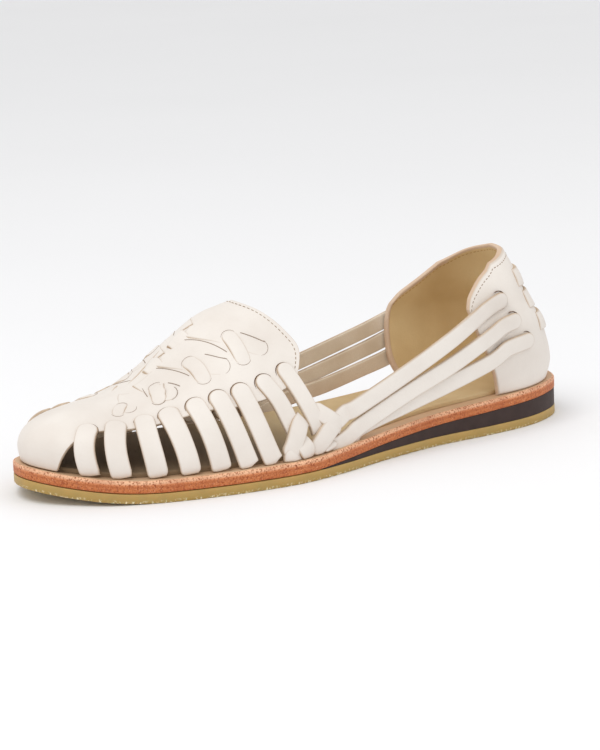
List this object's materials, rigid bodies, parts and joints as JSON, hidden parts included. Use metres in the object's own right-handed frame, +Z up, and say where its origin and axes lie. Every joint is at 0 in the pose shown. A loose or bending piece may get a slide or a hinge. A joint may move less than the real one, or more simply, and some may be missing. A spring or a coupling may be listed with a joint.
{
  "type": "huarache sandal",
  "caption": "Low woven leather sandal for the left foot: closed toe, cut-out side straps, braided waist, long straps to a heel cup, leather midsole on a crepe sole.",
  "frame": {"origin": "on the ground under the middle of the sandal's length and width", "axes": "+Z up; toe towards -Y and heel towards +Y; +X is the outer (lateral) side of this left shoe"},
  "size_m": [0.0904, 0.255, 0.076],
  "materials": {
    "upper_leather": "smooth cream full-grain leather",
    "midsole_leather": "orange-brown veg-tan leather with a burnished edge",
    "lining_leather": "undyed tan lining leather",
    "crepe_rubber": "honey crepe rubber",
    "wedge_rubber": "matte dark brown rubber"
  },
  "bodies": {
    "root": {"outsole": "crepe_rubber", "heel_wedge": "wedge_rubber", "midsole": "midsole_leather", "insole": "lining_leather", "upper": "upper_leather", "heel_counter": "upper_leather", "heel_band_top": "upper_leather", "heel_band_middle": "upper_leather", "heel_band_low": "upper_leather"}
  },
  "joints": []
}
